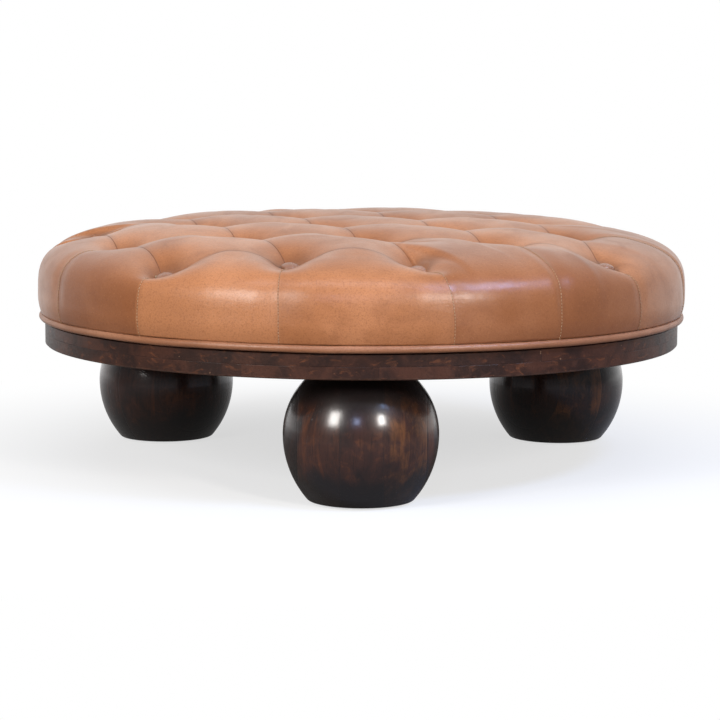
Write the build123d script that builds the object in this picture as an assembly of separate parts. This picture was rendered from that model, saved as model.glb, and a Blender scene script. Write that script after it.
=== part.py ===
from build123d import *
import os
from math import asin, cos, degrees, hypot, radians, sin

# Round tufted ottoman: three turned ball feet, a two-layer board base and a deep-buttoned leather
# cushion on a plywood deck. Millimetres, +Z up, -Y is the front, the origin is on the floor under
# the middle.

# Shared sizes and clearances
overall_width = 900.0
waist_radius = overall_width / 2
overrun = 5.0
bore_clearance = 0.1
soft_clearance = 0.3

# Ball feet, their felt pads and bolts
foot_count = 3
front_foot_angle = -90.0
pad_radius = 48.0
pad_thickness = 2.0
ball_radius = 98.5
ball_height = 164.6
ball_waist_height = 83.2
ball_lower_arc_radius = 126.7
ball_edge_radius = 4.0
bolt_radius = 5.0
bolt_depth_in_ball = 48.0
bolt_tip_chamfer = 1.5
nut_barrel_radius = 6.8
nut_barrel_depth = 16.0
nut_flange_radius = 13.0
nut_flange_thickness = 2.0

# Board base: two layers of edge-glued boards with staggered joints
base_inset = 11.0
base_radius = waist_radius - base_inset
foot_circle_share = 0.7597
foot_circle_radius = foot_circle_share * base_radius
layer_thickness = 16.2
base_edge_chamfer = 1.5
lower_joint_shares = (-0.70, -0.332, 0.05, 0.38, 0.70)
upper_joint_shares = (-0.80, -0.527, -0.17, 0.187, 0.508, 0.80)

# Screws that hold the upholstered deck down to the base
screw_count = 6
screw_circle_share = 0.5695
screw_circle_radius = screw_circle_share * base_radius
screw_radius = 2.0
screw_head_radius = 4.5
screw_head_depth = 3.0
screw_length = 42.0

# Plywood deck with the leather hem that is pulled under it
deck_inset = 14.0
deck_radius = base_radius - deck_inset
deck_thickness = 12.0
hem_thickness = 2.0
hem_width = 34.0
hem_staple_count = 16
staple_crown = 10.0
staple_leg = 8.0
staple_wire = 0.9
twine_hole_radius = 3.0
twine_hole_inset = 15.0
twine_hole_limit = deck_radius + hem_thickness - hem_width - twine_hole_inset

# Piping between the cushion and the base
piping_radius = 4.85
piping_overhang = 3.1
piping_ring_radius = base_radius + piping_overhang
piping_height = 204.6
piping_tail_thickness = 2.0

# Foam core
core_overhang = 3.0
core_radius = deck_radius + core_overhang
core_thickness = 62.0
core_edge_radius = 25.0

# Cushion outline: a superellipse above its widest line, an arc below it
waist_height = 237.0
crown_height = 338.5
crown_power = 3.5
shoulder_power = 0.285
side_foot_inset = 5.7
shoulder_share = 0.80
crest_share = 0.45

# Buttons on a skewed lattice: from one button to the next along and across a row, as shares of
# the cushion's radius, and then the row, first column and number of buttons in each row
along_shares = (0.35844, -0.05467)
across_shares = (-0.12889, 0.33444)
button_rows = (
    (-2.5, -2.5, 3),
    (-1.5, -2.5, 5),
    (-0.5, -2.5, 5),
    (0.5, -1.5, 5),
    (1.5, -1.5, 5),
    (2.5, 0.5, 3),
)
button_radius = 12.0
button_height = 9.0
button_rim_height = 4.5
button_sink = 5.0
tuft_depth_centre = 36.0
tuft_depth_edge = 14.0
seam_dip = 6.0
border_seam_dip = 5.0
border_seam_draw = 1.5
pleat_sides = 8
twine_sides = 6
twine_radius = 1.2

# Half of the cushion's border: lattice place, angle from the front where the seam meets the
# piping, and whether a seam runs there. The other half is the same turned half round.
half_border = (
    (-2.5, -2.5, -38.0, True),
    (-1.5, -2.5, -12.9, True),
    (-0.5, -2.5, 14.6, True),
    (-0.5, -1.5, 24.2, False),
    (0.5, -1.5, 33.9, True),
    (1.5, -1.5, 51.7, True),
    (1.5, -0.5, 77.0, True),
    (1.5, 0.5, 83.0, False),
    (2.5, 0.5, 89.0, True),
    (2.5, 1.5, 118.0, True),
)

# Heights that follow from the sizes above
ball_foot_height = pad_thickness
base_underside = ball_foot_height + ball_height
layer_joint_height = base_underside + layer_thickness
base_top = layer_joint_height + layer_thickness
deck_underside = base_top + hem_thickness
deck_top = deck_underside + deck_thickness
core_top = deck_top + core_thickness
cushion_foot = piping_height + piping_radius + soft_clearance


def polar(radius, degrees, height=0.0):
    """A point at this radius and angle from +X."""
    return Vector(radius * cos(radians(degrees)), radius * sin(radians(degrees)), height)


def around(count, radius, start, height=0.0):
    """Points spread evenly round the axis."""
    return [polar(radius, start + 360 * k / count, height) for k in range(count)]


def rod(centre, radius, length):
    """An upright cylinder that stands on this point."""
    return Pos(*centre) * Cylinder(radius, length, align=(Align.CENTER, Align.CENTER, Align.MIN))


def turned(points):
    """A solid turned about the vertical axis from a straight-sided half section."""
    return revolve(Plane.XZ * make_face(Polyline(*points, close=True)), Axis.Z)


def save(name, *shapes):
    """Write one node, of one solid or of a group of separate solids."""
    solids = [solid for shape in shapes for solid in shape.solids()]
    export_step(solids[0] if len(solids) == 1 else Compound(children=solids), f"parts/{name}.step")


# Feet
foot_points = around(foot_count, foot_circle_radius, front_foot_angle)
foot_names = ("front", "rear_right", "rear_left")


def felt_pad(centre):
    return rod(centre, pad_radius, pad_thickness)


def ball_foot(centre):
    """A turned ball: spherical above its widest line, a fuller arc below, flat at both ends."""
    waist = ball_foot_height + ball_waist_height
    lower_centre = ball_radius - ball_lower_arc_radius
    upper_angle = degrees(asin((ball_height - ball_waist_height) / ball_radius))
    lower_angle = degrees(asin(ball_waist_height / ball_lower_arc_radius))
    upper = CenterArc((0, waist), ball_radius, 0, upper_angle)
    lower = CenterArc((lower_centre, waist), ball_lower_arc_radius, 0, -lower_angle)
    top, foot = upper @ 1, lower @ 1
    outline = Polyline(top, (0, top.Y), (0, foot.Y), foot)
    ball = revolve(Plane.XZ * make_face([upper, lower, outline]), Axis.Z)
    ball = fillet(ball.edges().sort_by(Axis.Z)[0], ball_edge_radius)
    socket_foot = (0, 0, top.Y - bolt_depth_in_ball)
    socket = rod(socket_foot, bolt_radius + bore_clearance, bolt_depth_in_ball + overrun)
    return Pos(*centre) * (ball - socket)


def hanger_bolt(centre):
    """A stud from deep in the ball up to the top of the base."""
    length = bolt_depth_in_ball + base_top - base_underside
    foot = Vector(centre.X, centre.Y, base_underside - bolt_depth_in_ball)
    return chamfer(rod(foot, bolt_radius, length).edges().group_by(Axis.Z)[0], bolt_tip_chamfer)


def tee_nut(centre):
    """A flanged nut let into the top of the base, with the stud through it."""
    flange_foot = lifted(centre, base_top - nut_flange_thickness)
    barrel_foot = lifted(centre, base_top - nut_barrel_depth)
    flange = rod(flange_foot, nut_flange_radius, nut_flange_thickness)
    barrel = rod(barrel_foot, nut_barrel_radius, nut_barrel_depth)
    return flange + barrel - rod(lifted(centre, base_underside), bolt_radius + bore_clearance, base_top)


def bolt_bore(centre):
    """The stepped hole in the base for one stud and its nut."""
    shaft_foot = lifted(centre, base_underside - overrun)
    barrel_foot = lifted(centre, base_top - nut_barrel_depth)
    flange_foot = lifted(centre, base_top - nut_flange_thickness)
    shaft = rod(shaft_foot, bolt_radius + bore_clearance, base_top)
    barrel = rod(barrel_foot, nut_barrel_radius + bore_clearance, base_top)
    flange = rod(flange_foot, nut_flange_radius + bore_clearance, base_top)
    return shaft + barrel + flange


# Deck screws
screw_points = around(screw_count, screw_circle_radius, 0)


def deck_screw(centre, clearance=0.0):
    """A countersunk screw driven up through the base into the deck."""
    head = screw_head_radius + clearance
    shank = screw_radius + clearance
    tip = base_underside + screw_length + clearance
    neck = base_underside + screw_head_depth
    section = [(0, base_underside), (head, base_underside), (shank, neck), (shank, tip), (0, tip)]
    return Pos(centre.X, centre.Y, 0) * turned(section)


# Base boards
def base_layer(foot_height, eased):
    """One whole layer of the base with its holes. Its lower edge is eased, or with -1 its upper one."""
    disc = rod((0, 0, foot_height), base_radius, layer_thickness)
    rims = disc.edges().filter_by(GeomType.CIRCLE).sort_by(Axis.Z)
    disc = chamfer(rims[eased], base_edge_chamfer)
    for point in foot_points:
        disc -= bolt_bore(point)
    for point in screw_points:
        disc -= deck_screw(point, bore_clearance)
    return disc


def boards(foot_height, eased, joint_shares):
    """The boards of one layer, which run from front to back and meet at these joints."""
    layer = base_layer(foot_height, eased)
    reach = base_radius + overrun
    joints = [-reach, *[share * base_radius for share in joint_shares], reach]
    low = Align.MIN
    for left, right in zip(joints, joints[1:]):
        slab = Box(right - left, 2 * reach, layer_thickness, align=(low, Align.CENTER, low))
        yield layer & Pos(left, 0, foot_height) * slab


# Deck, hem and staples
def button_places():
    """Plan places of the buttons, row by row."""
    for row, first, count in button_rows:
        for step in range(count):
            yield lattice(first + step, row)


def lattice(column, row):
    """A place on the lattice, in columns along a row and rows across."""
    return (Vector(*along_shares) * column + Vector(*across_shares) * row) * waist_radius


def hole_place(point):
    """Where a button's twine goes through the deck: under the button, or just inside the hem."""
    return point * min(1, twine_hole_limit / hypot(point.X, point.Y))


def plywood_deck():
    deck = rod((0, 0, deck_underside), deck_radius, deck_thickness)
    for point in button_places():
        foot = lifted(hole_place(point), deck_underside - overrun)
        deck -= rod(foot, twine_hole_radius, deck_thickness + 2 * overrun)
    for point in screw_points:
        deck -= deck_screw(point, bore_clearance)
    for driven in [*hem_staples(), *twine_staples()]:
        deck -= driven
    return deck


def leather_hem():
    """The strip that comes down the deck's edge and is stapled flat under it."""
    inner = deck_radius + hem_thickness - hem_width
    section = [
        (inner, base_top),
        (deck_radius + hem_thickness, base_top),
        (deck_radius + hem_thickness, deck_top),
        (deck_radius, deck_top),
        (deck_radius, deck_underside),
        (inner, deck_underside),
    ]
    hem = turned(section)
    for driven in hem_staples():
        hem -= driven
    return hem


def staple(foot_height):
    """A wire staple, crown down, legs up."""
    low = Align.MIN
    crown = Box(staple_wire, staple_crown, staple_wire, align=(Align.CENTER, Align.CENTER, low))
    leg = Box(staple_wire, staple_wire, staple_leg, align=(Align.CENTER, Align.CENTER, low))
    reach = (staple_crown - staple_wire) / 2
    return Pos(0, 0, foot_height) * (crown + Pos(0, reach, 0) * leg + Pos(0, -reach, 0) * leg)


def hem_staples():
    ring = deck_radius + hem_thickness - hem_width / 2
    for k in range(hem_staple_count):
        yield Rot(0, 0, 360 * (k + 0.5) / hem_staple_count) * Pos(ring, 0, 0) * staple(base_top)


def twine_staples():
    """The staples that hold the twine's ends under the deck, one beside each hole."""
    for point in button_places():
        hole = hole_place(point)
        side = hole.X + twine_hole_radius + staple_wire
        yield Pos(side, hole.Y, 0) * staple(deck_underside - staple_wire)


# Piping
def piping():
    """A leather welt: a round bead with a flat tail that is caught against the hem."""
    bead = Pos(piping_ring_radius, 0, piping_height) * (Plane.XZ * Circle(piping_radius))
    inner = deck_radius + hem_thickness + soft_clearance
    tail = Polyline(
        (inner, piping_height - piping_tail_thickness / 2),
        (piping_ring_radius, piping_height - piping_tail_thickness / 2),
        (piping_ring_radius, piping_height + piping_tail_thickness / 2),
        (inner, piping_height + piping_tail_thickness / 2),
        close=True,
    )
    return revolve(bead + Plane.XZ * make_face(tail), Axis.Z)


# Foam core
def core_body(clearance=0.0):
    """The foam disc with its softened upper edge, or the room it takes in the border panels."""
    side = core_radius + clearance
    foot = deck_top if clearance == 0 else cushion_foot - overrun
    body = rod((0, 0, foot), side, core_top - foot)
    return fillet(body.edges().sort_by(Axis.Z)[-1], core_edge_radius)


def foam_core():
    core = core_body()
    for point in button_places():
        core -= button_twine(point, bore_clearance)
    return core


# Cushion surface
def surface_height(radius):
    """Height of the smooth crowned outline at this distance from the middle."""
    share = min(radius / waist_radius, 1)
    return waist_height + (crown_height - waist_height) * (1 - share**crown_power) ** shoulder_power


def button_top(point):
    share = hypot(point.X, point.Y) / waist_radius
    depth = tuft_depth_centre + (tuft_depth_edge - tuft_depth_centre) * share**2
    return surface_height(hypot(point.X, point.Y)) - depth


def corner_height(point):
    """Where the leather goes under a button's rim."""
    return button_top(point) - button_sink


def seam_height(point):
    return surface_height(hypot(point.X, point.Y)) - seam_dip


def lifted(point, height):
    return Vector(point.X, point.Y, height)


def arched_section(start, start_height, end, end_height, middle_height):
    """An upright section under one arc, from one plan point to another."""
    first, last = lifted(start, start_height), lifted(end, end_height)
    crest = lifted((start + end) / 2, middle_height)
    arc = ThreePointArc(first, crest, last)
    return make_face([arc, Polyline(last, lifted(end, core_top), lifted(start, core_top), first)])


def edge_section(start, end):
    """The section of a panel along a seam, from one button to the next."""
    middle = seam_height((start + end) / 2)
    return arched_section(start, corner_height(start), end, corner_height(end), middle)


def diamond_panel(column, row):
    """One puffed leather diamond between four buttons, with its seams on its four sides."""
    near = lattice(column, row), lattice(column + 1, row)
    far = lattice(column, row + 1), lattice(column + 1, row + 1)
    middle = (near[0] + far[0]) / 2, (near[1] + far[1]) / 2
    centre = (middle[0] + middle[1]) / 2
    sections = [
        edge_section(*near),
        arched_section(
            middle[0],
            seam_height(middle[0]),
            middle[1],
            seam_height(middle[1]),
            surface_height(hypot(centre.X, centre.Y)),
        ),
        edge_section(*far),
    ]
    return pleated(loft(sections), near + far)


def pleated(panel, corners):
    """Gather a panel round its buttons: a pocket for each button and a way down for its twine."""
    outline = RegularPolygon(button_radius + soft_clearance, pleat_sides, major_radius=False)
    pocket = extrude(outline, crown_height)
    for point in corners:
        panel -= Pos(point.X, point.Y, button_top(point) - button_height) * pocket
        panel -= button_twine(point, bore_clearance)
    return panel


def border_section(inner, inner_height, seam_angle, dip, draw):
    """An upright section from the inner edge over the shoulder and down the side."""
    inner_radius = hypot(inner.X, inner.Y)
    rim = polar(waist_radius, seam_angle + front_foot_angle)

    def at(radius, height):
        share = (radius - inner_radius) / (waist_radius - inner_radius)
        return lifted(inner + (rim - inner) * share, height)

    shoulder = inner_radius + (waist_radius - inner_radius) * shoulder_share
    crest = inner_radius + (waist_radius - inner_radius) * crest_share
    foot = at(waist_radius - side_foot_inset, cushion_foot)
    start = lifted(inner, inner_height)
    turn = at(shoulder - draw, surface_height(shoulder) - draw)
    top = ThreePointArc(start, at(crest, surface_height(crest) - dip), turn)
    side = ThreePointArc(turn, at(waist_radius - draw, waist_height), foot)
    return make_face([top, side, Polyline(foot, lifted(inner, cushion_foot), start)])


def full_border():
    """Every corner of the border in order: plan point, seam angle, and whether a seam runs there."""
    for column, row, angle, seam in half_border:
        yield lattice(column, row), angle, seam
    for column, row, angle, seam in half_border:
        yield lattice(-column, -row), angle + 180, seam


def border_wedge(start, end):
    """The puffed border between two neighbouring corners."""
    (near, near_angle, near_seam), (far, far_angle, far_seam) = start, end
    middle = (near + far) / 2
    turn = 360 if far_angle < near_angle else 0
    sections = [
        corner_section(near, near_angle, near_seam),
        border_section(middle, seam_height(middle), (near_angle + far_angle + turn) / 2, 0, 0),
        corner_section(far, far_angle + turn, far_seam),
    ]
    return loft(sections)


def corner_section(point, angle, seam):
    dip = border_seam_dip if seam else 0
    draw = border_seam_draw if seam else 0
    return border_section(point, corner_height(point), angle, dip, draw)


def border_panels():
    """The leather panels round the shoulder, each from one border seam to the next."""
    corners = list(full_border())
    core = core_body(soft_clearance)
    panel = None
    for start, end in zip(corners, corners[1:] + corners[:1]):
        wedge = pleated(border_wedge(start, end) - core, (start[0], end[0]))
        panel = wedge if panel is None else panel + wedge
        if end[2]:
            yield panel
            panel = None


def diamond_panels():
    """Every diamond that has a button at each of its four corners."""
    for (row, first, count), (_, next_first, next_count) in zip(button_rows, button_rows[1:]):
        low = max(first, next_first)
        high = min(first + count, next_first + next_count)
        for step in range(int(high - low) - 1):
            yield diamond_panel(low + step, row)


# Buttons and twine
def button(point):
    """A covered button: a straight rim under a low dome."""
    rise = button_height - button_rim_height
    bulge = (button_radius**2 + rise**2) / (2 * rise)
    side = Polyline((button_radius, button_rim_height), (button_radius, 0), (0, 0), (0, button_height))
    dome = CenterArc((0, button_height - bulge), bulge, 90, -degrees(asin(button_radius / bulge)))
    body = revolve(Plane.XZ * make_face([side, dome]), Axis.Z)
    return Pos(point.X, point.Y, button_top(point) - button_height) * body


def button_twine(point, clearance=0.0):
    """The twine from a button down to its hole, and straight down through the deck."""
    hole = hole_place(point)
    floor = button_top(point) - button_height
    slant = (hole - point).length / (floor - deck_top)
    knot = lifted(point, floor - slant * twine_radius)
    bend, end = lifted(hole, deck_top), lifted(hole, deck_underside)
    return twine_run(knot, bend, clearance) + twine_run(bend, end, clearance)


def twine_run(start, end, clearance):
    run = end - start
    section = Plane(start, z_dir=run) * RegularPolygon(twine_radius + clearance, twine_sides)
    return extrude(section, run.length)


os.makedirs("parts", exist_ok=True)

save("felt_pads", *[felt_pad(point) for point in foot_points])
for name, point in zip(foot_names, foot_points):
    save(f"ball_foot_{name}", ball_foot(point))
save("hanger_bolts", *[hanger_bolt(point) for point in foot_points])
save("tee_nuts", *[tee_nut(point) for point in foot_points])

for number, board in enumerate(boards(base_underside, 0, lower_joint_shares), 1):
    save(f"base_lower_board_{number}", board)
for number, board in enumerate(boards(layer_joint_height, -1, upper_joint_shares), 1):
    save(f"base_upper_board_{number}", board)
save("deck_screws", *[deck_screw(point) for point in screw_points])

save("plywood_deck", plywood_deck())
save("leather_hem", leather_hem())
save("hem_staples", *hem_staples())
save("piping", piping())
save("foam_core", foam_core())
save("diamond_panels", *diamond_panels())
save("border_panels", *border_panels())
save("tufting_buttons", *[button(point) for point in button_places()])
save("button_twine", *[button_twine(point) for point in button_places()])
save("twine_staples", *twine_staples())
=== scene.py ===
from bisect import bisect_left
from math import atan2, cos, exp, hypot, pi, radians, sin

import bmesh
import bpy
from mathutils import Matrix, Vector, noise


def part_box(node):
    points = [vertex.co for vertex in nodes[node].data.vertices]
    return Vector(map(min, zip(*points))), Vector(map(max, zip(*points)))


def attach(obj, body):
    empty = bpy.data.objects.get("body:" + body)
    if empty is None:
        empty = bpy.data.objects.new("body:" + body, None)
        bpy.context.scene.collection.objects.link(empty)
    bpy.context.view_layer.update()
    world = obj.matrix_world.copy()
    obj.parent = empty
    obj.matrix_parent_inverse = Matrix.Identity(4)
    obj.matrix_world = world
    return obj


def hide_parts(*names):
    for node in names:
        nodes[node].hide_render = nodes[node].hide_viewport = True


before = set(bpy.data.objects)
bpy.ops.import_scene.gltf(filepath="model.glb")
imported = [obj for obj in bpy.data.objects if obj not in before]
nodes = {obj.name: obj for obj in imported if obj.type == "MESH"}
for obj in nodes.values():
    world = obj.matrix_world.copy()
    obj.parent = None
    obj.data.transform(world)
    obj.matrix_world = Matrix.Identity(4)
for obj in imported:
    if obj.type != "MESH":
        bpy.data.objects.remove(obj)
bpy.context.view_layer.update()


# Camera
# A long lens three metres in front of the ottoman and half a metre up, looking slightly down
# at it, with the picture turned by a fifth of a degree.
def add(name, data):
    """A new object in the scene, which holds this camera, mesh or lamp."""
    made = bpy.data.objects.new(name, data)
    bpy.context.scene.collection.objects.link(made)
    return made


eye = add("camera", bpy.data.cameras.new("camera"))
eye.matrix_world = (
    Matrix.Translation((0, -3.073, 0.526))
    @ Matrix.Rotation(radians(82.766), 4, "X")
    @ Matrix.Rotation(0.0038, 4, "Z")
)
eye.data.sensor_width = 36
eye.data.lens = 110.2
eye.data.shift_x = -0.0017
bpy.context.scene.camera = eye


# Felt pads
# A disc of dark wool felt under each ball foot, glued on, so that the wood doesn't mark
# the floor.
class Tone:
    """A number or colour on its way through a material, so that sums on it read as Python."""

    tree = None

    def __init__(self, socket):
        self.socket = socket

    @staticmethod
    def node(kind, inputs=None, out=0, **settings):
        """Add one node of this kind: first its settings, then what goes into its sockets."""
        made = Tone.tree.nodes.new("ShaderNode" + kind)
        for name, value in settings.items():
            setattr(made, name, value)
        for name, value in (inputs or {}).items():
            if isinstance(value, Tone):
                Tone.tree.links.new(value.socket, made.inputs[name])
            else:
                made.inputs[name].default_value = value
        return Tone(made.outputs[out]) if made.outputs else None

    @staticmethod
    def maths(operation, first, second):
        return Tone.node("Math", {0: first, 1: second}, operation=operation)

    def __add__(self, other):
        return Tone.maths("ADD", self, other)

    def __sub__(self, other):
        return Tone.maths("SUBTRACT", self, other)

    def __rsub__(self, other):
        return Tone.maths("SUBTRACT", other, self)

    def __mul__(self, other):
        return Tone.maths("MULTIPLY", self, other)

    def __truediv__(self, other):
        return Tone.maths("DIVIDE", self, other)

    def __mod__(self, other):
        return Tone.maths("MODULO", self, other)

    def __abs__(self):
        return Tone.node("Math", {0: self}, operation="ABSOLUTE")

    __radd__, __rmul__ = __add__, __mul__


def step(value, low, high):
    """A soft switch from 0 at low to 1 at high."""
    return Tone.node(
        "MapRange", {"Value": value, "From Min": low, "From Max": high}, interpolation_type="SMOOTHSTEP"
    )


def tint(share, first, second):
    """The first colour, with this share of the second one over it."""
    pair = [c if isinstance(c, Tone) else (*c, 1) for c in (first, second)]
    return Tone.node("Mix", {0: share, 6: pair[0], 7: pair[1]}, out=2, data_type="RGBA")


def place():
    """Where a point is on the object, in metres."""
    return Tone.node("TexCoord", out=3)


def cloud(at, scale, detail=3.0, rough=0.55, warp=0.0):
    """Soft uneven patches between 0 and 1, smaller where the scale is larger."""
    return Tone.node(
        "TexNoise", {"Vector": at, "Scale": scale, "Detail": detail, "Roughness": rough, "Distortion": warp}
    )


def bumps(*heights):
    """The relief of several heights, each with its depth in metres."""
    normal = None
    for height, depth in heights:
        inputs = {"Height": height, "Distance": depth, "Strength": 1.0}
        if normal:
            inputs["Normal"] = normal
        normal = Tone.node("Bump", inputs)
    return normal


def begin(name):
    """A new material, which all nodes go into from here on."""
    material = bpy.data.materials.new(name)
    material.use_nodes = True
    material.node_tree.nodes.clear()
    Tone.tree = material.node_tree
    return material


def surface(**inputs):
    """The surface itself, with its sockets given by name, _ for a space."""
    names = {name.replace("_", " "): value for name, value in inputs.items()}
    Tone.node("OutputMaterial", {"Surface": Tone.node("BsdfPrincipled", names)})


def dress(piece, material):
    """Give a piece this material all over."""
    if not piece.material_slots:
        piece.data.materials.append(material)
    for held in piece.material_slots:
        held.material = material


felt = begin("felt")
at = place()
fibre = cloud(at, 900, 4, 0.7, 1.5)
surface(
    Base_Color=tint(step(fibre, 0.35, 0.7), (0.012, 0.011, 0.010), (0.045, 0.040, 0.036)),
    Roughness=0.95,
    Normal=bumps((fibre, 0.0006), (cloud(at, 120, 2), 0.0004)),
)
dress(nodes["felt_pads"], felt)


# Ball feet
# Turned hardwood balls, each glued up from upright boards about 53 mm thick before turning,
# stained dark brown and lacquered. Each screws up onto a stud under the base.
def stretch(at, scale):
    """A place for a pattern that is drawn out in each direction whose scale is small."""
    return Tone.node("Mapping", {"Vector": at, "Scale": scale})


def moved(at, shift):
    """The same place in another part of a pattern."""
    return Tone.node("VectorMath", {0: at, 1: shift}, operation="ADD")


def coordinate(at, axis):
    """How far a place is along x, y or z, for an axis of 0, 1 or 2."""
    return Tone.node("SeparateXYZ", {0: at}, out=axis)


def whole(value):
    """A number rounded down."""
    return Tone.node("Math", {0: value}, operation="FLOOR")


def cells(at, scale, feature="F1"):
    """Small round cells, 0 in the middle of each, or angular ones that are 0 at their edges."""
    return Tone.node("TexVoronoi", {"Vector": at, "Scale": scale}, feature=feature)


board_thickness = 0.0535


def stained_wood(name, turn, centre, offset, seed):
    """Dark stained wood, its grain upright, with a glue line at every board and painted shade over its
    upper and lower parts.
    """
    material = begin(name)
    turned = {"Vector": place(), "Center": centre, "Angle": turn}
    at = Tone.node("VectorRotate", turned, rotation_type="Z_AXIS")
    slice_place = (coordinate(at, 0) + offset) / board_thickness
    number = whole(slice_place)
    luck = Tone.node("TexWhiteNoise", {"W": number + seed}, noise_dimensions="1D")
    own = moved(at, Tone.node("CombineXYZ", {0: luck * 3.1, 1: luck * 5.3, 2: luck * 7.7 + seed}))
    grain_at = stretch(own, (1, 1, 0.07))
    streak = cloud(grain_at, 55, 5, 0.6, 0.6)
    fine = cloud(grain_at, 320, 4, 0.65, 0.2)
    pore = cells(stretch(own, (1, 1, 0.12)), 330)
    blotch = cloud(own, 13, 4, 0.55, 1.0)
    small = cloud(own, 48, 4, 0.6, 1.2)
    glue = step(abs(slice_place - number - 0.5), 0.478, 0.497)
    golden = 1 - step(abs(number - 1), 0.2, 0.8)
    # Painted shade: the ball is darkened above and below its middle, for the rim's shadow over its top and
    # the dim light under it.
    rise = abs(coordinate(at, 2) - centre[2] - 0.004 + (blotch - 0.5) * 0.05)
    colour = tint(step(blotch + luck * 0.15, 0.40, 0.78), (0.017, 0.0082, 0.0070), (0.056, 0.0195, 0.0115))
    streaks = step(streak, 0.50, 0.74) * step(luck + small * 0.6, 0.55, 1.05)
    colour = tint(streaks, colour, (0.130, 0.038, 0.012))
    colour = tint(step(small * blotch, 0.31, 0.46) * 0.4, colour, (0.150, 0.048, 0.015))
    colour = tint(golden * step(streak + small * 0.7, 0.72, 1.06) * 0.65, colour, (0.190, 0.070, 0.020))
    colour = tint(step(1 - fine, 0.48, 0.72) * 0.5, colour, (0.010, 0.006, 0.005))
    colour = tint(glue * step(small, 0.42, 0.62) * 0.4, colour, (0.007, 0.005, 0.005))
    colour = tint(step(rise, 0.022, 0.056) * 0.88, colour, (0.0075, 0.0060, 0.0058))
    surface(
        Base_Color=colour,
        Roughness=step(fine, 0.3, 0.75) * 0.10 + 0.32 + glue * 0.15,
        Specular_IOR_Level=0.2,
        Coat_Weight=1.0,
        Coat_IOR=1.6,
        Coat_Roughness=0.20,
        Normal=bumps((fine, 0.00012), (step(pore, 0.0, 0.30), 0.00022), (1 - glue, 0.0002)),
    )
    return material


# One glue line lies this far left of each ball's centre.
glue_line_aside = 0.0252
for way, (name, turn) in enumerate((("front", 0.0), ("rear_right", 2.2), ("rear_left", 4.1))):
    low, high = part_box(f"ball_foot_{name}")
    middle = (low + high) / 2
    offset = glue_line_aside - middle.x
    wood = stained_wood(f"ball_wood_{name}", turn, tuple(middle), offset, seed=way * 3.0 + 1)
    dress(nodes[f"ball_foot_{name}"], wood)


# Studs, flanged nuts, screws and staples
# Zinc-plated steel: a stud from each ball up through the base into a nut let into its top,
# countersunk screws that hold the deck down, and staples that hold the hem and the twine.
zinc = begin("zinc")
at = place()
spangle = cells(at, 260)
surface(
    Base_Color=tint(spangle, (0.52, 0.53, 0.55), (0.66, 0.66, 0.66)),
    Metallic=1.0,
    Roughness=step(cloud(at, 380, 3), 0.3, 0.8) * 0.2 + 0.26,
    Normal=bumps((cloud(at, 900, 2), 0.00005)),
)
for name in ("hanger_bolts", "tee_nuts", "deck_screws", "hem_staples", "twine_staples"):
    dress(nodes[name], zinc)


# Base
# Two layers of edge-glued boards that run from front to back, their joints staggered, cut to
# a disc and stained like the feet. The stain is worn along the lower edge of the rim.
worn_up_to, unworn_from, layer_joint = 0.1668, 0.1692, 0.1828


def rim_wood(name, seed):
    """One board of the base: long grain on its faces and at the sides, end grain at the front."""
    material = begin(name)
    at = place()
    own = moved(at, (seed * 1.7, seed * 2.9, seed * 0.37))
    height = coordinate(at, 2)
    grain = cloud(stretch(own, (1, 0.06, 1)), 90, 5, 0.6, 0.8)
    fine = cloud(stretch(own, (1, 0.10, 1)), 420, 4, 0.65, 0.3)
    blotch = cloud(own, 17, 4, 0.55, 0.9)
    knot = cloud(stretch(own, (1, 1, 2.2)), 38, 3, 0.5, 1.8)
    speck = cells(own, 210)
    colour = tint(step(blotch, 0.36, 0.68), (0.028, 0.0125, 0.0090), (0.074, 0.0270, 0.0155))
    colour = tint(step(grain, 0.5, 0.75) * 0.5, colour, (0.090, 0.036, 0.022))
    colour = tint(step(knot, 0.58, 0.76) * 0.6, colour, (0.190, 0.064, 0.026))
    colour = tint(step(1 - fine, 0.5, 0.75) * 0.5, colour, (0.014, 0.009, 0.008))
    worn = 1 - step(height + (cloud(own, 130, 3) - 0.5) * 0.004, worn_up_to, unworn_from)
    colour = tint(worn * 0.55, colour, (0.150, 0.074, 0.045))
    seam = (1 - step(abs(height - layer_joint), 0.0001, 0.0007)) * step(cloud(own, 26, 2), 0.40, 0.60)
    colour = tint(seam * 0.45, colour, (0.010, 0.007, 0.007))
    chip = step(cloud(own, 190, 2, 0.4), 0.755, 0.78)
    colour = tint(chip * 0.6, colour, (0.30, 0.17, 0.10))
    surface(
        Base_Color=colour,
        Roughness=step(fine, 0.3, 0.8) * 0.16 + 0.38,
        Specular_IOR_Level=0.25,
        Coat_Weight=0.10,
        Coat_Roughness=0.28,
        Normal=bumps((fine, 0.00018), (step(speck, 0.0, 0.25), 0.00012), (1 - seam, 0.0003)),
    )
    return material


board_names = sorted(name for name in nodes if name.startswith("base_"))
for seed, name in enumerate(board_names):
    dress(nodes[name], rim_wood(f"stained_{name}", seed * 1.31 + 0.4))


# Plywood deck
# A disc of 12 mm plywood of seven veneers, drilled for the twine, that carries the foam. The
# leather hem hides its edge.
deck_underside, veneer_thickness = 0.201, 0.0017143
ply = begin("plywood")
at = place()
cross = whole((coordinate(at, 2) - deck_underside) / veneer_thickness) % 2.0
along_x = cloud(stretch(at, (0.05, 1, 1)), 140, 5, 0.6, 0.5)
along_y = cloud(stretch(at, (1, 0.05, 1)), 140, 5, 0.6, 0.5)
veneer = along_x * cross + along_y * (1 - cross)
surface(
    Base_Color=tint(step(veneer, 0.35, 0.7), (0.52, 0.35, 0.19), (0.30, 0.17, 0.08)),
    Roughness=0.7,
    Normal=bumps((veneer, 0.0003)),
)
dress(nodes["plywood_deck"], ply)


# Leather hem
# The cover's lower strip, brought down the deck's edge and stapled flat under it, its flesh
# side in.
def darker(colour, share):
    """This share of a colour."""
    return tuple(c * share for c in colour)


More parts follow.
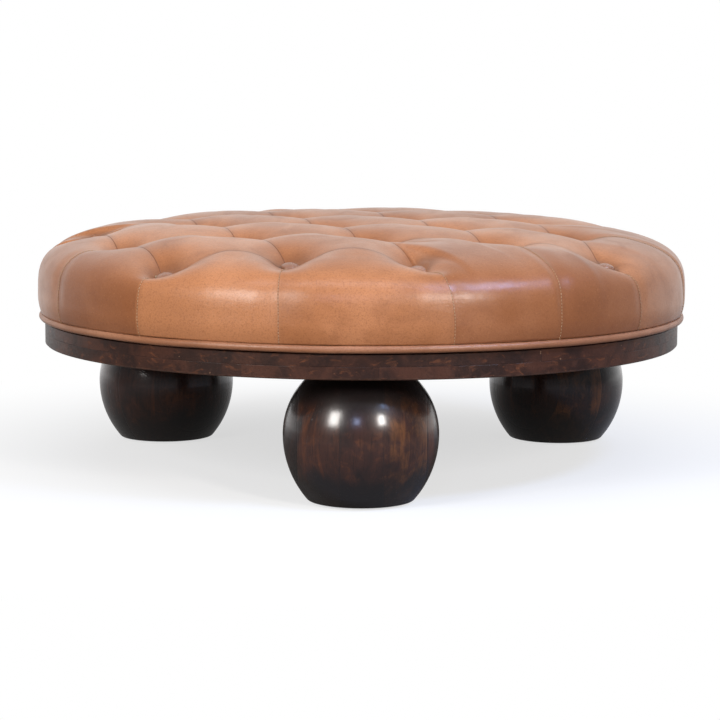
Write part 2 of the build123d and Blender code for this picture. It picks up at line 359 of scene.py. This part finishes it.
def carried(name):
    """A number that the mesh carries at each of its points."""
    return Tone.node("Attribute", out=2, attribute_name=name)


def leather(name, light, middle, dark, seam_lines=False, roughness=0.25, pores=1.0):
    """Aniline-dyed cow leather: uneven colour, fine pores and soft creases, and with seam lines painted
    light and shade on the cushion.
    """
    material = begin(name)
    at = place()
    wide = cloud(at, 7.5, 3, 0.5, 0.6)
    patch = cloud(at, 22, 4, 0.6, 0.8)
    fleck = cloud(at, 400, 3, 0.6, 0.2)
    pore = cells(at, 620)
    grain = cells(at, 330, "DISTANCE_TO_EDGE")
    crease = cloud(stretch(at, (1, 1, 1.6)), 60, 4, 0.55, 1.6)
    colour = tint(step(wide, 0.34, 0.66), middle, light)
    colour = tint(step(patch, 0.44, 0.80) * 0.38, colour, dark)
    if seam_lines:
        # Painted light and shade: each border panel is made lighter or darker as the lamps light it.
        tone = carried("panel_tone")
        colour = tint(step(tone, 0.5, 0.0), colour, dark)
        colour = tint(step(tone, 0.5, 1.0), colour, light)
    colour = tint(step(fleck, 0.48, 0.68) * 0.30, colour, darker(dark, 0.85))
    colour = tint((1 - step(pore, 0.10, 0.42)) * 0.24, colour, darker(dark, 0.45))
    fade = step(cloud(at, 330, 2, 0.5), 0.60, 0.76) * 0.16
    colour = tint(fade, colour, tuple(min(1, c * 1.3 + 0.03) for c in light))
    rough = step(patch, 0.3, 0.7) * 0.07 + roughness
    if seam_lines:
        gap, depth, sewn = carried("seam_gap"), carried("tuft"), carried("sewn")
        # Painted shade along the seams: a dark line in each seam's crease, and a wider, fainter darkening
        # beside it.
        line = 1 - step(gap, 0.0001, 0.0009)
        shade = 1 - step(gap, 0.001, 0.009)
        # Painted shade, darkest deep in the hollows round the buttons.
        colour = tint(step(depth, 0.25, 1.0) * 0.5, colour, darker(dark, 0.42))
        colour = tint(shade * (1 - sewn * 0.5) * 0.22, colour, darker(dark, 0.6))
        colour = tint(line * (1 - sewn * 0.35) * 0.8, colour, (0.085, 0.022, 0.006))
        rough = rough + step(depth, 0.3, 1.0) * 0.12 + line * 0.4
    surface(
        Base_Color=colour,
        Roughness=rough,
        Specular_IOR_Level=0.5,
        Sheen_Weight=0.03,
        Sheen_Roughness=0.5,
        Normal=bumps(
            (step(grain, 0.0, 0.16), 0.00003 * pores),
            (step(pore, 0.0, 0.35), 0.00004 * pores),
            (crease, 0.00013),
        ),
    )
    return material


dress(
    nodes["leather_hem"],
    leather("leather_back", (0.42, 0.24, 0.14), (0.34, 0.18, 0.10), (0.22, 0.10, 0.05), roughness=0.7),
)


# Foam core
# A disc of dense upholstery foam with a softened upper edge, glued to the deck under the
# leather.
foam = begin("foam")
at = place()
bubble = cells(at, 480)
surface(
    Base_Color=tint(step(bubble, 0.1, 0.7), (0.42, 0.37, 0.27), (0.74, 0.69, 0.56)),
    Roughness=0.95,
    Normal=bumps((bubble, 0.0007)),
)
dress(nodes["foam_core"], foam)


# Twine
# Waxed twine that holds each button down. It runs straight through the foam and the deck to a
# staple on the deck's underside.
def twisted(name, turns, uneven, colours, roughness, relief):
    """Waxed twine or thread, whose lay shows as slanting bands in two colours."""
    material = begin(name)
    bands = {"Vector": place(), "Scale": turns, "Distortion": uneven}
    lay = Tone.node("TexWave", bands, bands_direction="DIAGONAL")
    surface(Base_Color=tint(lay, *colours), Roughness=roughness, Normal=bumps((lay, relief)))
    return material


linen = ((0.30, 0.21, 0.12), (0.55, 0.42, 0.27))
dress(nodes["button_twine"], twisted("waxed_twine", 260.0, 1.5, linen, 0.55, 0.0003))


# Cushion
# Tan leather over foam, drawn down at 26 buttons on a skewed lattice. The diamonds between
# them are folded into each other, and the round border is sewn from panels.
crown_height, waist_height, waist_radius, foot_inset, foot_height = 0.3405, 0.237, 0.450, 0.0057, 0.20975

# The two powers that curve the outline from its flat crown over the shoulder to the waist
flatness, roundness = 3.5, 0.285

# The way from one button to the next along a row and across the rows, and the first column and
# the count of each row's buttons
along, across = Vector((0.1613, -0.0246)), Vector((-0.0580, 0.1505))
button_rows = {
    -2.5: (-2.5, 3), -1.5: (-2.5, 5), -0.5: (-2.5, 5),
    0.5: (-1.5, 5), 1.5: (-1.5, 5), 2.5: (0.5, 3),
}

# The outer buttons of the front half: column, row, where the panels meet at the piping in degrees
# from the front, and 1 where they are sewn to each other
half_border = [
    (-2.5, -2.5, -38.4, 1), (-1.5, -2.5, -12.9, 1), (-0.5, -2.5, 14.6, 1), (-0.5, -1.5, 24.2, 0),
    (0.5, -1.5, 33.4, 1), (1.5, -1.5, 52.8, 1), (1.5, -0.5, 76.0, 1), (1.5, 0.5, 83.0, 0),
    (2.5, 0.5, 89.0, 1), (2.5, 1.5, 118.0, 1),
]
border = half_border + [(-column, -row, angle + 180, sewn) for column, row, angle, sewn in half_border]

# How many parts a panel is divided into along each seam, and from its buttons down to the piping
steps, rows_down = 24, 30

# How far from its centre a button's hollow is deepest, and how steeply the leather rises from a button
button_reach, swell = 0.0135, 2.2

# Where a button sits off the lattice, and how much deeper it is drawn
nudges = {
    (-2.5, -2.5): (0.0115, 0, 0.009),
    (-1.5, -2.5): (0.0085, 0, 0.002),
    (-0.5, -2.5): (0.007, 0, 0.001),
    (1.5, -1.5): (-0.018, 0.002, -0.002),
}

# The three front hollows that lie open to the border: how far, and how wide on the left and right
closed_hollow = (0, 0.024, 0.024)
open_hollows = {
    (-2.5, -2.5): (1.0, 0.030, 0.050),
    (-1.5, -2.5): (1.0, 0.030, 0.030),
    (-0.5, -2.5): (0.85, 0.034, 0.056),
}

# How deep a seam along a row lies halfway between two buttons, and how steeply it rises from its
# left and its right button, where these aren't the usual ones
usual_dip = (0.0105, swell, swell)
dips = {
    (-2.5, -2.5): (0.004, 1.5, 2.6),
    (-1.5, -2.5): (0.001, swell, swell),
    (0.5, -1.5): (0.0045, swell, swell),
    (-2.5, -0.5): (0.003, 4.0, 4.0),
    (-1.5, 2.5): (0.004, swell, swell),
}

# Painted light and shade on each border panel, as the lamps light it, from 0 for darkest to 1 for lightest
border_painted_light = {0: 0.80, 1: 0.50, 2: 0.27, 3: 0.27, 4: 0.20, 5: 0.30, 6: 0.4, 17: 0.4, 18: 0.36, 19: 0.22}


def spread(number, count, pull=0.4):
    """Evenly from 0 to 1, but closer together at both ends."""
    share = number / count
    return share - pull * sin(2 * pi * share) / (2 * pi)


def lattice(column, row):
    """A place on the lattice, drawn aside where a button near it sits off its own place."""
    spot = along * column + across * row
    for (button_column, button_row), (aside, back, _) in nudges.items():
        near = max(0, 1 - abs(column - button_column)) * max(0, 1 - abs(row - button_row))
        spot += Vector((aside, back)) * near * near * (3 - 2 * near)
    return spot


def settled(spot):
    """The filling has settled a little towards the front."""
    above_waist = max(0, spot.z - waist_height)
    return spot + Vector((0, 0, 0.010 * spot.y * above_waist / (crown_height - waist_height)))


def row_dip(left, row, column):
    """How deep a seam along a row lies at its middle, and how it rises from the button in this column."""
    middle, *rises = dips.get((left, row), usual_dip)
    return middle, rises[column > left]


def cross_dip(row):
    """The same for a seam from this row to the one behind it."""
    return 0.008 - 0.001 * (row + 2.5), swell


def outline_height(radius):
    """How high the cushion would be at this radius if no button drew it down."""
    share = (1 - min(radius / waist_radius, 1) ** flatness) ** roundness
    return waist_height + (crown_height - waist_height) * share


def tuft_depth(column, row):
    """How far the leather is drawn down at this button: 41 mm in the middle, less near the border."""
    deeper = nudges.get((column, row), (0, 0, 0))[2]
    return 0.041 - 0.022 * (lattice(column, row).length / waist_radius) ** 2 + deeper


def pit(distance):
    """The extra hollow close round a button."""
    if distance < button_reach:
        return 0.0120 * (distance / button_reach)
    return 0.0120 * exp((button_reach - distance) / 0.026)


def seam_depth(share, depth, dip):
    """Depth along a seam: share is 0 halfway between two buttons and 1 at a button."""
    return dip[0] + (depth - dip[0]) * share ** dip[1]


def hollow(first, second, along_first, along_second, depth):
    """Depth inside a panel from the depths along two seams; a share is 1 on its seam, 0 midway."""
    return along_second * first**swell + along_first * second**swell - depth * (first * second) ** swell


def tuft_share(distance):
    """How far a point belongs to a tuft, from 1 under its button to 0 far off."""
    return exp(-max(distance - button_reach, 0) / 0.022)


def hold(distance, gap):
    """How firmly a point is held: wholly near a button, and nearly so on a seam."""
    return max(1 if distance < 0.015 else 0, 0.9 * (1 - min(gap / 0.004, 1)))


# The cushion's outline as points of radius and height, and how long it is up to each: 60 steps over
# the crown, 60 over the shoulder to the waist, and 12 down to the foot
profile = [(radius, outline_height(radius)) for radius in (waist_radius * 0.85 * k / 60 for k in range(61))]
start_rise = (profile[-1][1] - waist_height) / (crown_height - waist_height)
for k in range(1, 61):
    rise = start_rise * (1 - k / 60)
    radius = waist_radius * (1 - rise ** (1 / roundness)) ** (1 / flatness)
    profile.append((radius, waist_height + (crown_height - waist_height) * rise))
waist_length_at = len(profile) - 1
for k in range(1, 13):
    radius = waist_radius - foot_inset * (k / 12) ** 2
    profile.append((radius, waist_height - (waist_height - foot_height) * k / 12))
lengths = [0.0]
for (r0, z0), (r1, z1) in zip(profile, profile[1:]):
    lengths.append(lengths[-1] + hypot(r1 - r0, z1 - z0))
waist_length, foot_length = lengths[waist_length_at], lengths[-1]
profile_radii = [r for r, z in profile[: waist_length_at + 1]]


def length_at(radius):
    """How long the outline is from the crown's middle to this radius."""
    k = max(1, min(bisect_left(profile_radii, radius), waist_length_at))
    share = (radius - profile_radii[k - 1]) / (profile_radii[k] - profile_radii[k - 1])
    return lengths[k - 1] + share * (lengths[k] - lengths[k - 1])


def on_profile(length):
    """Radius, height and outward direction on the cushion's outline at this length from its crown."""
    k = max(1, min(bisect_left(lengths, length), len(profile) - 1))
    (r0, z0), (r1, z1) = profile[k - 1], profile[k]
    share = (length - lengths[k - 1]) / (lengths[k] - lengths[k - 1])
    outward = Vector((z0 - z1, r1 - r0)).normalized()
    return r0 + share * (r1 - r0), z0 + share * (z1 - z0), outward


points, point_of, quads = [], {}, []
facts = {"seam_gap": [], "tuft": [], "sewn": [], "panel_tone": [], "hold": []}


def cover_point(key, position, **its_facts):
    """The cover's vertex of this key, made the first time it is asked for."""
    if key not in point_of:
        point_of[key] = len(points)
        points.append(settled(position))
        for name, value in its_facts.items():
            facts[name].append(value)
    return point_of[key]


def seam_key(start, end, number):
    """One key for a vertex on a seam, from whichever panel it is asked for."""
    if number in (0, steps):
        return ("corner", *(start if number == 0 else end))
    return ("seam", start, end, number) if start < end else ("seam", end, start, steps - number)


def quad(corners):
    """A face between these vertices, or none where too few of them differ."""
    if len(set(corners)) > 2:
        quads.append([c for n, c in enumerate(corners) if c not in corners[:n]])


def diamond(column, row):
    """One folded diamond between four buttons."""
    grid = {}
    for i in range(steps + 1):
        for j in range(steps + 1):
            u, v = spread(i, steps), spread(j, steps)
            plan = lattice(column + u, row + v)
            corner = (column + round(u), row + round(v))
            button = lattice(*corner)
            depth, distance = tuft_depth(*corner), (plan - button).length
            a, b = abs(2 * u - 1), abs(2 * v - 1)
            dip = row_dip(column, corner[1], corner[0])
            sink = hollow(a, b, seam_depth(a, depth, dip), seam_depth(b, depth, cross_dip(row)), depth)
            sink = min(sink + pit(distance), depth)
            gap = min((1 - a) * along.length, (1 - b) * across.length) / 2
            key = ("diamond", column, row, i, j)
            if j in (0, steps):
                key = seam_key((column, row + j // steps), (column + 1, row + j // steps), i)
            elif i in (0, steps):
                key = seam_key((column + i // steps, row), (column + i // steps, row + 1), j)
            height = outline_height(plan.length) - sink - 0.002 * (1 - a * a) * (1 - b * b)
            grid[i, j] = cover_point(
                key, Vector((*plan, height)), seam_gap=gap, tuft=tuft_share(distance), sewn=0,
                panel_tone=0.5, hold=hold(distance, gap),
            )
    for i in range(steps):
        for j in range(steps):
            quad((grid[i, j], grid[i + 1, j], grid[i + 1, j + 1], grid[i, j + 1]))


for row in list(button_rows)[:-1]:
    (first, count), (next_first, next_count) = button_rows[row], button_rows[row + 1]
    column = max(first, next_first)
    while column < min(first + count, next_first + next_count) - 1:
        diamond(column, row)
        column += 1


def border_panel(number):
    """The border from one outer button to the next, over the shoulder and down to the piping."""
    near, far = border[number], border[(number + 1) % len(border)]
    far_angle = far[2] + (360 if far[2] < near[2] else 0)
    half_gap = (lattice(*far[:2]) - lattice(*near[:2])).length / 2
    grid = {}
    for i in range(steps + 1):
        s = spread(i, steps)
        b, ease = abs(2 * s - 1), s * s * (3 - 2 * s)
        inner = lattice(near[0] + (far[0] - near[0]) * s, near[1] + (far[1] - near[1]) * s)
        start, turn = length_at(inner.length), atan2(inner.y, inner.x)
        rim_turn = radians(near[2] + (far_angle - near[2]) * s - 90)
        swing = (rim_turn - turn + pi) % (2 * pi) - pi

        # The nearer button, and the fold that rises from it towards the next one
        corner = near if s < 0.5 else far
        depth, has_seam, button = tuft_depth(*corner[:2]), corner[3], lattice(*corner[:2])
        button_height = outline_height(button.length)
        dip = cross_dip(min(near[1], far[1]))
        if near[1] == far[1]:
            dip = row_dip(min(near[0], far[0]), near[1], corner[0])
        openness, *widths = open_hollows.get(corner[:2], closed_hollow)
        width = widths[corner is near]

        # Where no seam leads down from a button, its fold reaches further and turns outward sooner.
        seamless = (1 - near[3]) * (1 - ease) + (1 - far[3]) * ease
        fall = min(0.080 + 0.050 * seamless, 0.75 * (waist_length - start))
        turning = 1.6 + 1.8 * seamless
        for j in range(rows_down + 1):
            reach = (foot_length - start) * spread(j, rows_down, 0.25)
            to_foot = foot_length - start - reach
            radius, height, outward = on_profile(start + reach)
            share = min(1, reach / (waist_length - start))
            bearing = turn + swing * (1 - (1 - share) ** turning)
            radial = Vector((cos(bearing), sin(bearing)))
            plan = Vector((radius * cos(bearing), radius * sin(bearing)))
            if j == 0:
                plan, height = inner, outline_height(inner.length)
            distance = hypot((plan - button).length, height - button_height)
            a = 1 - min(reach / fall, 1)

            # The groove of the seam, which lies open to the button's own depth in a front hollow
            aside = (1 - b) * half_gap * (1 + 0.3 * share)
            rim_dip = has_seam * 0.0030 * min(1, to_foot / 0.05)
            groove = rim_dip + (depth - rim_dip) * a**2
            open_groove = max(rim_dip, height - (button_height - depth + 0.0015))
            groove += (open_groove - groove) * openness
            groove *= exp(-((aside / (width - 0.008 * share)) ** 2))
            fold = min(seam_depth(b, depth, dip) * a**swell + pit(distance), depth)
            sink = min((fold**4 + (groove * min(1, reach / 0.015)) ** 4) ** 0.25, depth)
            sink += 0.002 * (1 - b * b * has_seam) * min(1, reach / 0.03) * min(1, to_foot / 0.03)
            outward = Vector((0, 1)).lerp(outward, 1 - a).normalized()
            spot = Vector((*(plan - radial * outward.x * sink), height - outward.y * sink))
            key = ("border", number, i, j)
            if j == 0:
                key = seam_key(near[:2], far[:2], i)
            elif i in (0, steps):
                key = ("down", (number + i // steps) % len(border), j)
            gap = min(reach, aside) if has_seam or a > 0.5 else reach
            grid[i, j] = cover_point(
                key, spot, seam_gap=gap, tuft=tuft_share(distance),
                sewn=1.0 if has_seam and aside < reach else 0.0,
                # This panel's painted light or shade, which grows in from its upper seam
                panel_tone=0.5 + (border_painted_light.get(number, 0.5) - 0.5) * min(1, reach / 0.08),
                hold=1 if j > rows_down - 2 else hold(distance, gap),
            )
    for i in range(steps):
        for j in range(rows_down):
            quad((grid[i, j], grid[i, j + 1], grid[i + 1, j + 1], grid[i + 1, j]))


for number in range(len(border)):
    border_panel(number)

mesh = bpy.data.meshes.new("cushion_cover")
mesh.from_pydata([tuple(p) for p in points], [], quads)
cushion = add("cushion_cover", mesh)
for name in ("seam_gap", "tuft", "sewn", "panel_tone"):
    mesh.attributes.new(name, "FLOAT", "POINT").data.foreach_set("value", facts[name])
creases = mesh.attributes.new("crease_edge", "FLOAT", "EDGE")
for edge in mesh.edges:
    widest = max(facts["seam_gap"][corner] for corner in edge.vertices)
    creases.data[edge.index].value = 0.55 if widest < 0.0005 else 0.0

# The filling presses the leather out between its seams. No point moves further than this.
furthest_pressed = 0.003
held = cushion.vertex_groups.new(name="held")
for index, share in enumerate(facts["hold"]):
    held.add([index], share, "REPLACE")
cloth = cushion.modifiers.new("filling", "CLOTH")
cloth.settings.quality = 5
cloth.settings.mass = 0.3
cloth.settings.tension_stiffness = 60
cloth.settings.compression_stiffness = 60
cloth.settings.shear_stiffness = 40
cloth.settings.bending_stiffness = 8
cloth.settings.vertex_group_mass = "held"
cloth.settings.use_pressure = True
cloth.settings.uniform_pressure_force = 1.5
cloth.settings.effector_weights.gravity = 0
cloth.collision_settings.use_collision = False
cloth.collision_settings.use_self_collision = False
for moment in range(1, 13):
    bpy.context.scene.frame_set(moment)
pressed = cushion.evaluated_get(bpy.context.evaluated_depsgraph_get())
targets = [v.co.copy() for v in pressed.data.vertices]
cushion.modifiers.remove(cloth)
cushion.vertex_groups.clear()
for vertex, target in zip(mesh.vertices, targets):
    shift = target - vertex.co
    vertex.co += shift * min(1, furthest_pressed / max(shift.length, 1e-9))
bpy.context.scene.frame_set(1)

# The sewn seams' lines, kept for the stitches before the mesh gets finer
sewn_lines = [
    [mesh.vertices[point_of["down", number, level]].co.copy() for level in range(1, rows_down + 1)]
    for number, corner in enumerate(border)
    if corner[3]
]
bpy.ops.object.select_all(action="DESELECT")
cushion.select_set(True)
bpy.context.view_layer.objects.active = cushion
subdivide = cushion.modifiers.new("smooth", "SUBSURF")
subdivide.levels = subdivide.render_levels = 1
bpy.ops.object.modifier_apply(modifier=subdivide.name)

# At its foot the leather turns in. The padding's underside lies over the foam core and closes it,
# ring by ring, each with its radius and height.
underside = ((0.4300, 0.20975), (0.4285, 0.2120), (0.4285, 0.2500), (0.4210, 0.2675), (0.4035, 0.2753))
bpy.ops.object.mode_set(mode="EDIT")
bpy.ops.mesh.select_mode(type="EDGE")
bpy.ops.mesh.select_all(action="DESELECT")
bpy.ops.mesh.select_non_manifold()
from_radius, from_height = waist_radius - foot_inset, foot_height
for radius, height in underside:
    bpy.ops.mesh.extrude_region_move()
    scale = radius / from_radius
    bpy.ops.transform.resize(value=(scale, scale, 1), center_override=(0, 0, 0))
    bpy.ops.transform.translate(value=(0, 0, height - from_height))
    from_radius, from_height = radius, height
bpy.ops.mesh.extrude_region_move()
bpy.ops.mesh.merge(type="CENTER")
bpy.ops.mesh.select_all(action="SELECT")
bpy.ops.mesh.normals_make_consistent(inside=False)
bpy.ops.object.mode_set(mode="OBJECT")
bpy.ops.object.shade_smooth()
tan = ((0.52, 0.215, 0.090), (0.39, 0.146, 0.052), (0.215, 0.066, 0.020))
dress(cushion, leather("tan_leather", *tan, seam_lines=True, roughness=0.28, pores=1.5))
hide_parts("diamond_panels", "border_panels")
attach(cushion, "root")


# Border stitches
# Pale waxed thread, 0.8 mm thick, sewn through both edges of the leather where two border
# panels meet, one stitch every 4 mm.
def pick_faces(piece, wanted):
    """In edit mode, select the faces that are wanted and no others."""
    bpy.ops.mesh.select_all(action="DESELECT")
    shape = bmesh.from_edit_mesh(piece.data)
    for face in shape.faces:
        face.select_set(wanted(face))
    bmesh.update_edit_mesh(piece.data)


thread_radius, stitch_pitch, first_stitch_at = 0.0004, 0.004, 0.030
bpy.ops.object.select_all(action="DESELECT")
bpy.ops.mesh.primitive_cylinder_add(vertices=6, radius=thread_radius, depth=0.0016, location=(0, 0, 0))
stitch = bpy.context.active_object
bpy.ops.object.mode_set(mode="EDIT")
bpy.ops.mesh.select_mode(type="FACE")
for way in (1, -1):
    pick_faces(stitch, lambda face: face.normal.z * way > 0.9)
    bpy.ops.mesh.extrude_region_move()
    bpy.ops.transform.translate(value=(0, 0, 0.0005 * way))
    bpy.ops.transform.resize(value=(0.45, 0.45, 1))
bpy.ops.object.mode_set(mode="OBJECT")
sewing = bmesh.new()
for line in sewn_lines:
    travelled, due = 0.0, first_stitch_at
    for start, end in zip(line, line[1:]):
        run = end - start
        while travelled + run.length > due:
            spot = start + run * ((due - travelled) / run.length)
            _, touched, outward, _ = cushion.closest_point_on_mesh(spot)
            across_seam = run.cross(outward).normalized()
            turn = Matrix((across_seam, outward, -run.normalized())).transposed().to_4x4()
            one = stitch.data.copy()
            one.transform(Matrix.Translation(touched + outward * thread_radius) @ turn)
            sewing.from_mesh(one)
            bpy.data.meshes.remove(one)
            due += stitch_pitch
        travelled += run.length
thread = add("border_stitches", bpy.data.meshes.new("border_stitches"))
bmesh.ops.recalc_face_normals(sewing, faces=sewing.faces)
sewing.to_mesh(thread.data)
sewing.free()
bpy.data.objects.remove(stitch)
pale_tan = ((0.36, 0.20, 0.095), (0.58, 0.40, 0.24))
dress(thread, twisted("seam_thread", 700.0, 2.0, pale_tan, 0.6, 0.0001))
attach(thread, "root")


# Covered buttons
# Domed metal buttons 24 mm across, covered in the same leather, whose edge is tucked under
# the rim.
button_radius, button_edge = 0.012, 0.0045
bpy.ops.object.select_all(action="DESELECT")
bpy.ops.mesh.primitive_cylinder_add(
    vertices=32, radius=button_radius, depth=button_edge, location=(0, 0, button_edge / 2)
)
pattern = bpy.context.active_object
bpy.ops.object.mode_set(mode="EDIT")
bpy.ops.mesh.select_mode(type="FACE")
pick_faces(pattern, lambda face: face.normal.z > 0.9)
for inset, rise in ((0.0012, 0.0012), (0.0026, 0.0015), (0.0035, 0.0011), (0.0028, 0.0006)):
    bpy.ops.mesh.inset(thickness=inset, depth=0)
    bpy.ops.transform.translate(value=(0, 0, rise))
pick_faces(pattern, lambda face: face.normal.z < -0.9)
bpy.ops.mesh.inset(thickness=0.002, depth=0)
bpy.ops.object.mode_set(mode="OBJECT")
rounded = pattern.modifiers.new("rounded", "SUBSURF")
rounded.levels = rounded.render_levels = 1
bpy.ops.object.modifier_apply(modifier=rounded.name)
bpy.ops.object.shade_smooth()

# How far each front button is tipped to the front and to the side, in degrees. The others are
# tipped by up to three degrees.
tips = {(-2.5, -2.5): (10, -12), (-1.5, -2.5): (10, 3), (-0.5, -2.5): (10, 8)}
buttons = []
for row, (first, count) in button_rows.items():
    for number in range(count):
        column = first + number
        spot = lattice(column, row)
        seat = settled(Vector((*spot, outline_height(spot.length) - tuft_depth(column, row))))
        slight = (3 * sin(first * 9 + row * 5 + number * 7), 3 * cos(row * 8 + number * 3))
        tip = tips.get((column, row), slight)
        turn = Matrix.Rotation(radians(tip[0]), 4, "X") @ Matrix.Rotation(radians(tip[1]), 4, "Y")
        copy = add("button", pattern.data.copy())
        copy.data.transform(Matrix.Translation(seat) @ turn)
        buttons.append(copy)
bpy.data.objects.remove(pattern)
bpy.ops.object.select_all(action="DESELECT")
for button in buttons:
    button.select_set(True)
bpy.context.view_layer.objects.active = buttons[0]
bpy.ops.object.join()
covered_buttons = bpy.context.active_object
covered_buttons.name = "covered_buttons"
brown = ((0.36, 0.19, 0.12), (0.28, 0.135, 0.080), (0.16, 0.07, 0.04))
dress(covered_buttons, leather("button_leather", *brown))
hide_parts("tufting_buttons")
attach(covered_buttons, "root")


# Piping
# A cord in a folded strip of the same leather, sewn between the cushion and its hem. Its flat
# tail runs in under the cushion.
welt_ring, welt_radius, welt_height = 0.4421, 0.00485, 0.2046
welt_inside, tail_ring = 0.4374, 0.4275
bpy.ops.object.select_all(action="DESELECT")
bpy.ops.mesh.primitive_torus_add(
    major_radius=welt_ring, minor_radius=welt_radius, major_segments=240, minor_segments=16,
    location=(0, 0, welt_height),
)
welt = bpy.context.active_object
welt.name = "welt"
bpy.ops.object.transform_apply(location=True, rotation=True, scale=True)
bpy.ops.object.mode_set(mode="EDIT")
bpy.ops.mesh.select_mode(type="FACE")

# The cord's innermost faces are drawn in and make the tail.
pick_faces(welt, lambda face: face.calc_center_median().xy.length < welt_inside + 0.0002)
bpy.ops.mesh.extrude_region_move()
narrower = tail_ring / welt_inside
bpy.ops.transform.resize(value=(narrower, narrower, 1), center_override=(0, 0, welt_height))
bpy.ops.object.mode_set(mode="OBJECT")

# It wavers a little up and down and in and out on its way round.
for vertex in welt.data.vertices:
    spot = vertex.co
    bearing = atan2(spot.y, spot.x)
    spot.z += 0.0007 * noise.noise(Vector((cos(bearing) * 5, sin(bearing) * 5, 0.3)))
    spot.xy *= 1 + 0.0008 * noise.noise(Vector((cos(bearing) * 9, sin(bearing) * 9, 4)))
bpy.ops.object.shade_smooth()
worn_tan = ((0.40, 0.175, 0.088), (0.315, 0.128, 0.058), (0.18, 0.064, 0.026))
dress(welt, leather("welt_leather", *worn_tan, roughness=0.36))
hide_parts("piping")
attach(welt, "root")


# Floor and light
# A plain white floor that shows white to the camera and keeps the ottoman's soft shadow. Two
# softboxes and a small window stand in front, a long window at the right and a skylight above,
# in a pale room.
bpy.ops.object.select_all(action="DESELECT")
bpy.ops.mesh.primitive_plane_add(size=30, location=(0, 0, -0.0002))
floor = bpy.context.active_object
floor.name = "floor"
bpy.ops.object.transform_apply(location=True, rotation=True, scale=True)
paper = begin("floor_paper")


def larger(first, second):
    return Tone.maths("MAXIMUM", first, second)


def open_view(at):
    """1 for what the camera sees, also through clear things, and for reflections of what is behind."""
    seen, glossy, clear = (Tone.node("LightPath", out=k) for k in (0, 3, 6))
    behind = step(coordinate(at, 1), -0.15, 0.85)
    return larger(larger(seen, glossy * behind), clear)


at = place()
away = Tone.node("VectorMath", {0: at}, out=1, operation="LENGTH")
matt = Tone.node("BsdfDiffuse", {"Color": (0.20, 0.19, 0.185, 1)})
white = Tone.node("Emission", {"Color": (1, 1, 1, 1), "Strength": 1.0})
bright = Tone.node("BsdfDiffuse", {"Color": (0.95, 0.95, 0.95, 1)})
half = Tone.node("MixShader", {0: step(away, 0.35, 0.95) * 0.35 + 0.65, 1: bright, 2: white})
shown = Tone.node("MixShader", {0: open_view(stretch(at, (1, 0.5, 1))), 1: matt, 2: half})
Tone.node("OutputMaterial", {"Surface": shown})
dress(floor, paper)

room = bpy.data.worlds.new("room")
bpy.context.scene.world = room
room.use_nodes = True
room.node_tree.nodes.clear()

# The pale room lights the ottoman from all sides, and is darker where it shows in its shine.
Tone.tree = room.node_tree
dim = tint(Tone.node("LightPath", out=3), (0.37, 0.37, 0.38), (0.15, 0.155, 0.165))
glow = tint(open_view(Tone.node("TexCoord", out=0)), dim, (1, 1, 1))
Tone.node("OutputWorld", {"Surface": Tone.node("Background", {"Color": glow, "Strength": 1.0})})


def lamp(name, place_at, size, power, colour, aim=(0, 0, 0.2)):
    """A soft lamp of this width and height, turned towards the cushion."""
    light = bpy.data.lights.new(name, "AREA")
    light.shape, light.size, light.size_y = "RECTANGLE", *size
    light.energy, light.color = power, colour
    hung = add(name, light)
    hung.location = place_at
    hung.rotation_euler = (Vector(aim) - Vector(place_at)).to_track_quat("-Z", "Y").to_euler()


lamp("left_softbox", (-1.50, -1.94, 1.18), (0.6, 0.8), 33, (1.0, 0.97, 0.93))
lamp("right_softbox", (1.40, -2.51, 1.36), (0.34, 0.6), 34, (1.0, 0.96, 0.92))
lamp("front_window", (-0.35, -3.4, 1.55), (0.35, 0.45), 7, (0.50, 0.62, 1.0))
lamp("side_window", (1.386, -1.20, 1.94), (0.85, 0.28), 29, (0.40, 0.56, 1.0))
lamp("skylight", (0.0, -1.20, 2.5), (3.0, 0.35), 19, (0.76, 0.86, 1.0))

bpy.context.scene.view_settings.view_transform = "Standard"
